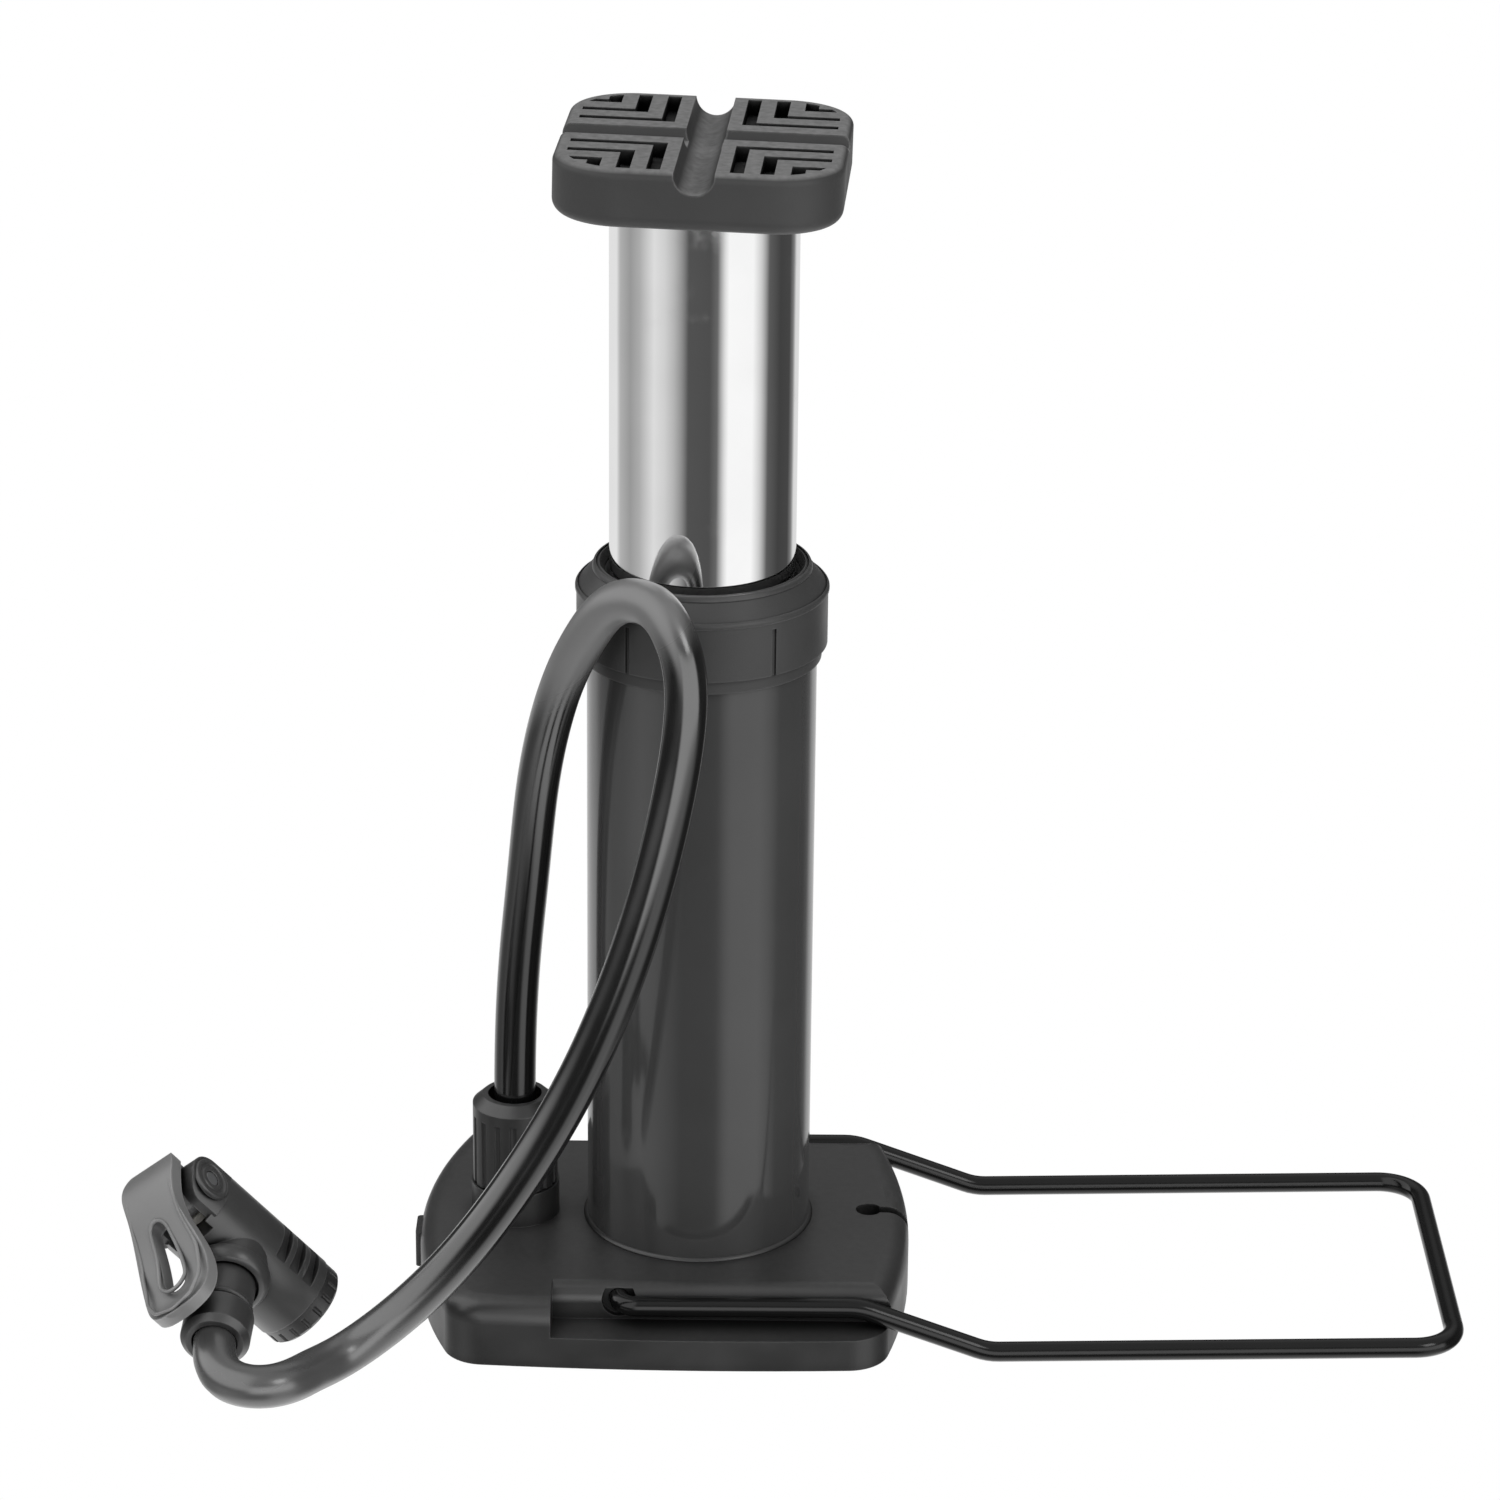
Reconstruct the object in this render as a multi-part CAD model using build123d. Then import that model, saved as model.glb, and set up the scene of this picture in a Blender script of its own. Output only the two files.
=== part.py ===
"""Foot air pump: a moulded base, an upright barrel with a sprung plunger and tread pedal,
a folding wire stand, and a hose that ends in a lever-operated tyre valve head.

Origin: on the barrel's axis, at the floor. +Z is up, +X points to the side where the wire
stand folds out, and the hose leaves the base on the -X side. Lengths are in millimetres.
The pump is drawn with its plunger fully extended and its stand folded out on the floor.
"""

import math
import os

from build123d import *

# ---------------------------------------------------------------- driving dimensions: base
BASE_BOTTOM = 0.6           # the rim stands this far off the floor, on the rubber feet
BASE_TOP = 14.2
BASE_LEFT = -56.5
BASE_RIGHT = 43.0
BASE_HALF_DEPTH = 43.2
BASE_EDGE_ROUND = 4.6
COVER_INSET = 2.6
COVER_TOP = 2.6
SOCKET_FLOOR = 7.0          # floor of the barrel's socket, and of the air chamber
RECESS_LEFT = -28.5         # the side recess in which each stand leg lies
RECESS_WALL = 34.2
RECESS_FLOOR = 7.2
RECESS_LIP = 3.5
FIT = 0.05                  # gap of a pressed or screwed fit
RUNNING = 0.08              # radial clearance of a pin or shaft that turns or slides

# ---------------------------------------------------------------- driving dimensions: pump
BARREL_R = 22.5
BARREL_BORE_R = 20.5
BARREL_FOOT = 8.2
BARREL_TOP = 147.0
COLLAR_R = 24.5
COLLAR_BOTTOM = 136.0
COLLAR_CREST = 155.0
TUBE_R = 18.15              # the bright plunger tube
TUBE_BORE_R = 16.75
TUBE_BOTTOM = 92.5
TUBE_TOP = 231.6
ROD_R = 6.0                 # the fixed rod that the plunger slides round
ROD_TOP = 127.0
SPRING_R = 14.0
SPRING_BORE_R = 11.4
SPRING_BOTTOM = 130.0
SPRING_TOP = 222.0
PISTON_BOTTOM = 86.0
PISTON_TOP = 98.0
PEDAL_BOTTOM = 228.8
PEDAL_TOP = 240.0
PEDAL_X = 54.4
PEDAL_Y = 58.0
PEDAL_CORNER = 13.0
PEDAL_YAW = -3.5            # degrees; the plunger turns freely, and stands a little askew
PEDAL_TILT = 1.2            # degrees; the pedal leans down a little to the right
GROOVE_WIDTH = 7.6          # the round-bottomed groove that the folded stand clips into
GROOVE_DEPTH = 4.0

# ---------------------------------------------------------------- driving dimensions: stand
WIRE_R = 2.0
STAND_PIVOT = (-15.2, 11.3)     # X and Z of the wire's two pivot pins
STAND_HALF_WIDTH = 36.64
STAND_END = 151.3

# ---------------------------------------------------------------- driving dimensions: outlet
OUTLET_X = -37.2
BOSS_R = 8.9
BOSS_TOP = 21.2
NUT_R = 8.55
NUT_BOTTOM = 21.4
NUT_SHOULDER = 38.4
NUT_TOP = 40.3
HOSE_R = 4.2
HOSE_START = 37.0

# ---------------------------------------------------------------- driving dimensions: valve head
# The head lies beside the base. Its own frame: x runs to the mouth, y down the stem to
# the hose, z along the lever's pin.
HEAD_CENTRE = Vector(-91.3, -32.2, 21.9)
HEAD_AXIS = Vector(0.651, 0.144, -0.745).normalized()
STEM_AXIS = Vector(-0.044, -0.973, -0.226)
HEAD_R = 9.3
HEAD_BORE_R = 6.6
HEAD_MOUTH = 21.0
HEAD_REAR = -12.0
PORT_R = 4.2
PIN_X = -15.8
PIN_Y = 1.8
EAR_R = 5.0
STEM_R = 5.9
FERRULE_R = 6.8
STEM_END = 26.5             # the hose meets the stem here, inside the ferrule
FERRULE_END = 29.5

# Route of the hose's centre line, from the outlet towards the head. Its last two points
# follow from the head's place: the hose comes straight out of the stem for HOSE_LAST_RUN.
HOSE_LAST_RUN = 11.0
HOSE_ROUTE = [
    (OUTLET_X, 0, HOSE_START),
    (OUTLET_X, 0, 60.7),
    (-34.2, -2.6, 87),
    (-32.2, -7.9, 110.9),
    (-28.9, -14.1, 128),
    (-25.7, -19.4, 139.2),
    (-21.4, -23.1, 148.8),
    (-16.3, -26.3, 156.7),
    (-8.6, -30.8, 157.8),
    (-4.4, -35.8, 152.7),
    (-1.9, -38.7, 144.2),
    (-3.2, -41.5, 128.2),
    (-9.3, -46.2, 101.1),
    (-18.2, -48.4, 75.4),
    (-28.4, -49, 54),
    (-42.5, -50.1, 32.2),
    (-55.6, -50.3, 17.5),
    (-68.4, -54.5, 8.9),
    (-74, -62.9, 10.5),
    (-76.9, -71.9, 12.7),
    (-85.7, -74.7, 12.3),
]

HEAD_FRAME = Plane(origin=HEAD_CENTRE, x_dir=HEAD_AXIS, z_dir=HEAD_AXIS.cross(STEM_AXIS))


# ---------------------------------------------------------------- shape helpers
def cyl(radius, z0, z1, x=0, y=0):
    """Upright cylinder from z0 to z1."""
    return Pos(x, y, (z0 + z1) / 2) * Cylinder(radius, z1 - z0)


def ring(outer, inner, z0, z1, x=0, y=0):
    return cyl(outer, z0, z1, x, y) - cyl(inner, z0 - 1, z1 + 1, x, y)


def block(x0, x1, y0, y1, z0, z1):
    centre = Pos((x0 + x1) / 2, (y0 + y1) / 2, (z0 + z1) / 2)
    return centre * Box(x1 - x0, y1 - y0, z1 - z0)


def turned(points, x=0):
    """Solid of revolution about an upright axis; points are (radius, z)."""
    profile = Plane.XZ * make_face(Polyline(points, close=True))
    return Pos(x, 0, 0) * revolve(profile, Axis.Z)


def cyl_x(radius, x0, x1, y=0, z=0):
    return Pos((x0 + x1) / 2, y, z) * Rot(0, 90, 0) * Cylinder(radius, x1 - x0)


def cyl_y(radius, y0, y1, x=0, z=0):
    return Pos(x, (y0 + y1) / 2, z) * Rot(90, 0, 0) * Cylinder(radius, y1 - y0)


def ring_x(outer, inner, x0, x1):
    return cyl_x(outer, x0, x1) - cyl_x(inner, x0 - 1, x1 + 1)


def both_sides(shape):
    """A feature of the back half and its mirror image on the front."""
    return shape + mirror(shape, Plane.XZ)


def corner_radii(route, share=0.45):
    """The largest tangent arcs that fit the route: share of the shorter run at each corner."""
    points = [Vector(*point) for point in route]
    radii = []
    for before, corner, after in zip(points, points[1:], points[2:]):
        turn = math.radians((corner - before).get_angle(after - corner))
        run = min((corner - before).length, (after - corner).length)
        radii.append(share * run / math.tan(turn / 2))
    return radii


def tube_along(path, radius):
    section = Plane(origin=path @ 0, z_dir=path % 0) * Circle(radius)
    return sweep(section, path=path)


# ---------------------------------------------------------------- base
def base_outline(inset=0):
    """Plan of the base, drawn in by the inset: four shallow arcs with rounded corners."""
    left_x, left_y = -47.5 + inset, 41.2 - inset
    right_x, right_y = 36.5 - inset, 42.2 - inset
    front_y = BASE_HALF_DEPTH - inset
    face = make_face(Curve() + [
        ThreePointArc((left_x, -left_y), (-5, -front_y), (right_x, -right_y)),
        ThreePointArc((right_x, -right_y), (BASE_RIGHT - inset, 0), (right_x, right_y)),
        ThreePointArc((right_x, right_y), (-5, front_y), (left_x, left_y)),
        ThreePointArc((left_x, left_y), (BASE_LEFT + inset, 0), (left_x, -left_y)),
    ])
    return fillet(face.vertices(), 8.5 - inset)


def side_recess():
    """Cutter for the recess that the back stand leg lies in, open to the right-hand end."""
    profile = make_face(Curve() + [
        Line((RECESS_WALL, BASE_TOP - RECESS_LIP), (RECESS_WALL, RECESS_FLOOR)),
        Line((RECESS_WALL, RECESS_FLOOR), (60, RECESS_FLOOR)),
        Line((60, RECESS_FLOOR), (60, 30)),
        Line((60, 30), (RECESS_WALL - RECESS_LIP, 30)),
        Line((RECESS_WALL - RECESS_LIP, 30), (RECESS_WALL - RECESS_LIP, BASE_TOP)),
        JernArc((RECESS_WALL - RECESS_LIP, BASE_TOP), (1, 0), RECESS_LIP, -90),
    ])
    return extrude(Plane.YZ.offset(RECESS_LEFT) * profile, 90)


SCREW_PLACES = [(-49, -18), (-49, 18), (35.5, -20), (35.5, 20)]
FOOT_PLACES = [(-40, -32.5), (-40, 32.5), (27, -33), (27, 33)]


def base_body():
    body = extrude(Pos(0, 0, BASE_BOTTOM) * base_outline(), BASE_TOP - BASE_BOTTOM)
    body = fillet(body.edges().group_by(Axis.Z)[-1], BASE_EDGE_ROUND)
    body += cyl(BOSS_R, SOCKET_FLOOR, BOSS_TOP, OUTLET_X)
    body -= both_sides(side_recess())
    # socket of the barrel, with a small relief round its mouth
    body -= cyl(BARREL_R + FIT, SOCKET_FLOOR, 30)
    body -= cyl(BARREL_R + 0.7, BASE_TOP - 0.7, 30)
    # pivot holes of the stand, with room for the wire's bend at the mouth
    pivot_x, pivot_z = STAND_PIVOT
    body -= both_sides(cyl_y(WIRE_R + RUNNING, 25, 36, pivot_x, pivot_z)
                       + cyl_y(WIRE_R + 1.4, 32.9, 36, pivot_x, pivot_z))
    # bore of the outlet, its air channel, and the channel's opening in the chamber floor
    channel_z = 4.9
    channel_r = 1.5
    body -= cyl(6.2, SOCKET_FLOOR, 30, OUTLET_X)
    body -= cyl_x(channel_r, OUTLET_X, -14, z=channel_z)
    body -= cyl(channel_r, channel_z, SOCKET_FLOOR + 1, OUTLET_X)
    body -= cyl(channel_r, channel_z, SOCKET_FLOOR + 1, -14)
    # recess of the bottom cover, coring pockets between ribs, and the rod nut's pocket
    body -= extrude(base_outline(COVER_INSET), COVER_TOP)
    for x0, x1 in ((-44, -28), (25, 31)):
        for y0, y1 in ((-27, -7), (7, 27)):
            body -= block(x0, x1, y0, y1, 0, 10.6)
    body -= cyl(8, 0, 4.2)
    body -= cyl(3 + FIT, 0, 10)
    for x, y in SCREW_PLACES:
        body -= cyl(1.3 + FIT, 0, 8, x, y)
    # keyhole in the right-hand end's top edge, and the slot of the end tab on the left
    key_y = 1.1
    body -= block(34.8, 50, key_y - 1.3, key_y + 1.3, 9.5, 30)
    body -= cyl(2.6, 9.5, 30, 34.8, key_y)
    body -= block(BASE_LEFT - 2, BASE_LEFT + 2.6, -4.1, 4.1, 2.6, 10.4)
    return body


def base_cover():
    plate = extrude(Pos(0, 0, BASE_BOTTOM) * base_outline(COVER_INSET + 0.15),
                    COVER_TOP - BASE_BOTTOM - 0.05)
    plate -= cyl(8.1, 0, 5)
    for x, y in FOOT_PLACES:
        plate -= cyl(5.05, 0, 1.9, x, y)
    for x, y in SCREW_PLACES:
        plate -= cyl(1.6, 0, 5, x, y)
        plate -= Pos(x, y, 1.3) * Cone(3.0, 1.5, 1.5)
    return plate


def cover_screws():
    """Four countersunk screws through the bottom cover."""
    screws = []
    for x, y in SCREW_PLACES:
        head = Pos(x, y, 1.35) * Cone(2.8, 1.3, 1.3)
        screw = head + cyl(1.3, 1.9, 7.6, x, y)
        screw -= block(x - 1.5, x + 1.5, y - 0.3, y + 0.3, 0, 1.1)
        screw -= block(x - 0.3, x + 0.3, y - 1.5, y + 1.5, 0, 1.1)
        screws.append(screw)
    return Compound(children=screws)


def rubber_feet():
    return Compound(children=[cyl(5, 0, 1.85, x, y) for x, y in FOOT_PLACES])


def centre_pad():
    return cyl(8, 0, 1.5)


def end_tab():
    """Thin plate let into the base's left-hand end."""
    tab = block(BASE_LEFT - 1, BASE_LEFT + 2.5, -4, 4, 2.7, 10.3)
    return fillet(tab.edges().filter_by(Axis.Z).sort_by(Axis.X)[:2], 0.8)


# ---------------------------------------------------------------- barrel and collar
def barrel_gasket():
    return ring(BARREL_R - FIT, 19.6, SOCKET_FLOOR, BARREL_FOOT)


def barrel_tube():
    return ring(BARREL_R, BARREL_BORE_R, BARREL_FOOT, BARREL_TOP)


def guide_bush():
    bush = ring(BARREL_BORE_R - FIT, TUBE_R + 0.1, 137, BARREL_TOP)
    return bush + ring(BARREL_R, TUBE_R + 0.1, BARREL_TOP, 149.4)


def wiper_seal():
    return turned([
        (TUBE_R + RUNNING, 151.8),
        (TUBE_R + 1.2, 149.6),
        (21.0, 149.6),
        (21.0, 153.1),
        (TUBE_R + 0.6, 153.1),
    ])


def collar_cap():
    cap = turned([
        (BARREL_R + FIT, COLLAR_BOTTOM),
        (23.4, COLLAR_BOTTOM),
        (23.4, 138.5),
        (COLLAR_R, 138.8),
        (COLLAR_R, 150.1),
        (20.9, COLLAR_CREST - 0.5),
        (20.0, COLLAR_CREST),
        (18.9, 153.6),
        (18.9, 153.2),
        (21.1, 153.2),
        (21.1, 149.5),
        (BARREL_R + FIT, 149.5),
    ])
    # grip: narrow upright grooves that divide the rim into panels
    for angle in (-125, -55, 55, 125):
        groove = Pos(COLLAR_R + 0.15, 0, 143.5) * Box(1.1, 0.9, 9.6)
        cap -= Rot(0, 0, angle) * groove
    return cap


# ---------------------------------------------------------------- rod, spring and plunger
def guide_rod():
    rod = cyl(ROD_R, SOCKET_FLOOR + 1, ROD_TOP) + cyl(3, 1.8, SOCKET_FLOOR + 1)
    return chamfer(rod.faces().sort_by(Axis.Z)[-1].edges(), 0.6)


def rod_foot_seal():
    return ring(ROD_R - 0.3, 3 + FIT, SOCKET_FLOOR, SOCKET_FLOOR + 0.95)


def rod_nut():
    nut = Pos(0, 0, 1.7) * extrude(RegularPolygon(5.4, 6), 2.4)
    return nut - cyl(3 + FIT, 0, 5)


def spring_seat():
    """Plastic cap on the rod's top, with a flange for the spring and a spigot inside it."""
    seat = cyl(8.5, 119, ROD_TOP) + cyl(15.4, ROD_TOP, SPRING_BOTTOM)
    seat += cyl(10.8, SPRING_BOTTOM, 134)
    seat -= cyl(ROD_R + FIT, 118, ROD_TOP)
    return seat - cyl(2.5, ROD_TOP - 1, 140)


def return_spring():
    """Envelope of the coil spring between the seat and the thrust washer."""
    return ring(SPRING_R, SPRING_BORE_R, SPRING_BOTTOM, SPRING_TOP)


def thrust_washer():
    return ring(15.4, 6, SPRING_TOP, 223.4) + ring(10.8, 8.4, 218.5, SPRING_TOP)


def tube_hub():
    hub = cyl(TUBE_BORE_R - FIT, 223.5, TUBE_TOP)
    return hub - cyl(2 + FIT, 220, 240)


def plunger_tube():
    return ring(TUBE_R, TUBE_BORE_R, TUBE_BOTTOM, TUBE_TOP)


def piston():
    body = ring(20.2, ROD_R + 0.35, PISTON_BOTTOM, PISTON_TOP)
    body -= ring(21.0, 18.4, 89, 92)
    body -= ring(7.9, 5.0, 89, 91.4)
    body -= ring(TUBE_R + FIT, TUBE_BORE_R - FIT, TUBE_BOTTOM, 110)
    for angle in range(0, 360, 90):
        body -= Rot(0, 0, angle + 45) * cyl(1.3, 80, 110, 12)
    return body


def piston_ring_outer():
    return ring(BARREL_BORE_R - RUNNING, 18.5, 89.2, 91.8)


def piston_ring_inner():
    return ring(7.8, ROD_R + RUNNING, 89.2, 91.2)


def stop_sleeve():
    """Spacer on the piston that meets the guide bush and ends the up stroke."""
    return ring(20.1, TUBE_R + FIT, PISTON_TOP + 0.05, 136.8)


# ---------------------------------------------------------------- pedal
def tread_cuts():
    """Nested L-shaped cuts in each quarter of the tread, corners towards the centre."""
    first_x, step_x, width_x = 6.4, 5.6, 2.6
    first_y, step_y, width_y = 7.6, 6.2, 2.0
    floor_z = PEDAL_TOP - 3.0
    cuts = []
    for i in range(3):
        x = first_x + i * step_x
        y = first_y + i * step_y
        cut = block(x, PEDAL_X, y, y + width_y, floor_z, PEDAL_TOP + 2)
        cut += block(x, x + width_x, y, PEDAL_Y, floor_z, PEDAL_TOP + 2)
        cut += mirror(cut, Plane.YZ)
        cuts.append(both_sides(cut))
    return cuts


def pedal():
    slab = extrude(Pos(0, 0, PEDAL_BOTTOM) * RectangleRounded(PEDAL_X, PEDAL_Y, PEDAL_CORNER),
                   PEDAL_TOP - PEDAL_BOTTOM)
    slab = fillet(slab.edges().group_by(Axis.Z)[-1], 1.6)
    slab = fillet(slab.edges().group_by(Axis.Z)[0], 2.6)
    # the tread stays inside a border, so its cuts are clipped to a smaller outline
    border = 2.6
    inner = extrude(Pos(0, 0, PEDAL_TOP - 5) * RectangleRounded(
        PEDAL_X - 2 * border, PEDAL_Y - 2 * border, PEDAL_CORNER - border), 10)
    for cut in tread_cuts():
        slab -= cut & inner
    # the main groove along Y, rounded at the bottom, and the shallow cross groove along X
    floor_z = PEDAL_TOP - GROOVE_DEPTH + GROOVE_WIDTH / 2
    slab -= cyl_y(GROOVE_WIDTH / 2, -40, 40, z=floor_z)
    slab -= block(-GROOVE_WIDTH / 2, GROOVE_WIDTH / 2, -40, 40, floor_z, PEDAL_TOP + 2)
    cross = Polyline([(-3.5, PEDAL_TOP + 0.1), (3.5, PEDAL_TOP + 0.1), (2.2, PEDAL_TOP - 2.2),
                      (-2.2, PEDAL_TOP - 2.2)], close=True)
    slab -= extrude(Plane.YZ.offset(-40) * make_face(cross), 80)
    slab = Pos(0, 0, PEDAL_TOP) * Rot(0, PEDAL_TILT, PEDAL_YAW) * Pos(0, 0, -PEDAL_TOP) * slab
    # underneath: the socket of the tube, and the threaded insert's hole
    slab -= cyl(TUBE_R + FIT, PEDAL_BOTTOM - 4, TUBE_TOP + FIT)
    return slab - cyl(4.0, TUBE_TOP - 1, TUBE_TOP + 3.6)


def pedal_insert():
    return ring(3.95, 2 + FIT, TUBE_TOP + 0.1, TUBE_TOP + 3.5)


def pedal_screw():
    screw = cyl(4, 220.4, 223.45) + cyl(2, 223.4, TUBE_TOP + 3)
    return screw - Pos(0, 0, 220.3) * extrude(RegularPolygon(1.6, 6), 1.6)


# ---------------------------------------------------------------- outlet and check valve
def valve_seat():
    return turned([(1.6, 7.05), (6.1, 7.05), (6.1, 9.0), (2.2, 9.0), (1.6, 8.4)], OUTLET_X)


def valve_ball():
    """Ball resting on the seat's 45 degree cone."""
    return Pos(OUTLET_X, 0, 10.22) * Sphere(2.4)


def valve_spring():
    """Envelope of the small spring above the ball."""
    return ring(2.3, 1.6, 12.3, 17.4, OUTLET_X)


def outlet_fitting():
    """Screwed into the boss; its spigot stands inside the sleeve nut."""
    return turned([
        (3.4, 9.1), (6.15, 9.1), (6.15, 33.0), (5.2, 33.0), (4.6, HOSE_START),
        (1.8, HOSE_START), (1.8, 17.5), (3.4, 17.5),
    ], OUTLET_X)


def outlet_nut():
    """Sleeve nut with upright flutes and a chamfered top, round the hose's end."""
    nut = turned([
        (6.2, NUT_BOTTOM), (NUT_R, NUT_BOTTOM), (NUT_R, NUT_SHOULDER), (6.5, NUT_TOP),
        (5.4, NUT_TOP), (5.4, 35.0), (6.2, 33.6),
    ], OUTLET_X)
    flutes = 16
    for i in range(flutes):
        flute = cyl(0.75, NUT_BOTTOM - 1, NUT_SHOULDER - 2.2, NUT_R + 0.3)
        nut -= Pos(OUTLET_X, 0, 0) * Rot(0, 0, 360 / flutes * i) * flute
    return nut


# ---------------------------------------------------------------- wire stand
def stand_wire():
    """One bent wire: pins into the base, legs along its sides, and a bar across the end."""
    pivot_x, pivot_z = STAND_PIVOT
    knee_z = WIRE_R + 0.05
    half = [
        (pivot_x, 26.4, pivot_z),
        (pivot_x, STAND_HALF_WIDTH, pivot_z),
        (32.5, STAND_HALF_WIDTH, 11.5),
        (58, STAND_HALF_WIDTH, knee_z),
        (STAND_END, STAND_HALF_WIDTH, 4.2),
    ]
    bend = [3.6, 12, 12, 8.5]
    front = [(x, -y, z) for x, y, z in half]
    path = FilletPolyline(*front, *reversed(half), radius=bend + bend[::-1])
    return tube_along(path, WIRE_R)


# ---------------------------------------------------------------- hose and valve head
def in_head_frame(shape):
    return HEAD_FRAME.location * shape


def hose():
    end = HEAD_FRAME.from_local_coords(Vector(0, STEM_END + FIT, 0))
    turn = HEAD_FRAME.from_local_coords(Vector(0, STEM_END + HOSE_LAST_RUN, 0))
    route = HOSE_ROUTE + [tuple(turn), tuple(end)]
    path = FilletPolyline(*route, radius=corner_radii(route))
    return tube_along(path, HOSE_R)


def head_body():
    body = cyl_x(HEAD_R, HEAD_REAR, 17)
    # two ears behind the barrel of the head, rounded about the lever's pin
    ears = cyl(EAR_R, -9.1, 9.1, PIN_X, PIN_Y)
    ears += block(PIN_X, HEAD_REAR + 1, PIN_Y - EAR_R, PIN_Y + EAR_R, -9.1, 9.1)
    body += ears & cyl_x(HEAD_R + 0.4, PIN_X - 10, 0)
    # shoulder and stem
    shoulder = Pos(0, 6, 0) * Rot(-90, 0, 0) * Cylinder(7.6, 12)
    body += fillet(shoulder.edges().sort_by(Axis.Y)[-1], 2.0)
    body += cyl_y(STEM_R, 0, 22)
    body += cyl_y(STEM_R - 0.9, 20, STEM_END)
    # chamber, guide of the pusher's tail, lever slot, air way down the stem, pin hole
    body -= cyl_x(HEAD_BORE_R, -7, 20)
    body -= cyl_x(3.0 + RUNNING, -20, 0)
    body -= block(-30, -9.8, -20, 20, -4.9, 4.9)
    body -= cyl_y(2.2, 0, 40)
    body -= cyl(1.5 + FIT, -20, 20, PIN_X, PIN_Y)
    # finger ribs: cross slots on both cheeks, near the mouth
    for x in (4.6, 8.4, 12.2):
        for side in (-1, 1):
            body -= block(x, x + 2.4, -5.4, 5.4, side * 10.4 - 2.6, side * 10.4 + 2.6)
    return in_head_frame(body)


def head_cap():
    """Screwed-in mouth piece; its bore takes the tyre valve."""
    cap = ring_x(HEAD_R - 0.2, PORT_R, 17.05, HEAD_MOUTH)
    cap += ring_x(HEAD_BORE_R - FIT, PORT_R, 14.5, 17.1)
    cap = chamfer(cap.faces().sort_by(Axis.X)[-1].outer_wire().edges(), 0.7)
    for angle in range(0, 360, 20):
        cap -= Rot(angle, 0, 0) * cyl_x(0.5, 18, 30, y=HEAD_R - 0.1)
    return in_head_frame(cap)


def valve_gasket():
    return in_head_frame(ring_x(HEAD_BORE_R - FIT, 3.8, 8.6, 14.45))


def gasket_pusher():
    """Bush that squeezes the gasket when the lever's cam pushes its tail."""
    pusher = cyl_x(HEAD_BORE_R - RUNNING, 3.4, 6.8) + cyl_x(3.0, -11.3, 3.5)
    pusher -= cyl_x(1.5, -3, 10)
    return in_head_frame(pusher - cyl_y(1.3, -5, 5))


def stem_seal():
    return in_head_frame(ring_x(5.2, 3.0 + RUNNING, -6.95, -5.0))


def lever_pin():
    return in_head_frame(cyl(1.5, -9.3, 9.3, PIN_X, PIN_Y))


def lever_blade():
    """The thumb paddle: a bent strip, seen from the side, cut to its outline and hole."""
    thickness = 2.6
    centre = Spline((-22.6, -1.4), (-22.3, 6.2), (-14.2, 17), (-10.2, 31))
    outer = []
    inner = []
    for share in (0, 0.15, 0.3, 0.45, 0.6, 0.8, 1):
        middle = centre @ share
        along = centre % share
        across = Vector(-along.Y, along.X) * (thickness / 2)
        outer.append(middle + across)
        inner.append(middle - across)
    side = make_face(Curve() + [
        Spline(*outer), Line(outer[-1], inner[-1]),
        Spline(*inner[::-1]), Line(inner[0], outer[0]),
    ])
    strip = Pos(0, 0, -12) * extrude(side, 24)
    # outline: distance down the stem, half width; then the teardrop hole
    left = [(-1.2, 5.4), (4, 6.8), (10, 6.2), (19, 8.2), (26, 7.6), (29.6, 4.4)]
    right = [(y, -z) for y, z in left]
    outline = make_face(Curve() + [
        Spline(*left), ThreePointArc(left[-1], (31, 0), right[-1]),
        Spline(*right[::-1]), Line(right[0], left[0]),
    ])
    window = make_hull((Pos(13.6, 0) * Circle(1.8)).edges() + (Pos(21.6, 0) * Circle(2.9)).edges())
    blade_face = Plane.YZ.offset(-40) * (outline - window)
    return strip & extrude(blade_face, 80)


def head_lever():
    """Lever with its cam hub; the cam's lobe faces the pusher when the lever is raised."""
    half_width = 4.7
    lever = cyl(4.0, -half_width, half_width, PIN_X, PIN_Y)
    lever += cyl(4.0, -half_width, half_width, PIN_X, PIN_Y - 1.5)
    lever += block(-22, PIN_X, PIN_Y - 3.2, PIN_Y + 4, -half_width, half_width)
    lever += lever_blade()
    return in_head_frame(lever - cyl(1.5 + RUNNING, -20, 20, PIN_X, PIN_Y))


def hose_ferrule():
    """Collar on the stem's end that grips the hose."""
    ferrule = cyl_y(FERRULE_R, 22.1, FERRULE_END)
    ferrule = chamfer(ferrule.edges().sort_by(Axis.Y)[-1], 1.2)
    ferrule -= cyl_y(STEM_R - 0.9 + FIT, 20, STEM_END)
    return in_head_frame(ferrule - cyl_y(HOSE_R + 0.25, STEM_END, 40))


# ---------------------------------------------------------------- all pieces
PIECES = [
    base_body, base_cover, cover_screws, rubber_feet, centre_pad, end_tab,
    barrel_gasket, barrel_tube, guide_bush, wiper_seal, collar_cap,
    guide_rod, rod_foot_seal, rod_nut, spring_seat, return_spring, thrust_washer,
    tube_hub, plunger_tube, piston, piston_ring_outer, piston_ring_inner, stop_sleeve,
    pedal, pedal_insert, pedal_screw,
    valve_seat, valve_ball, valve_spring, outlet_fitting, outlet_nut,
    stand_wire, hose,
    head_body, head_cap, valve_gasket, gasket_pusher, stem_seal, lever_pin, head_lever,
    hose_ferrule,
]

os.makedirs("parts", exist_ok=True)
for piece in PIECES:
    export_step(piece(), f"parts/{piece.__name__}.step")
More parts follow.
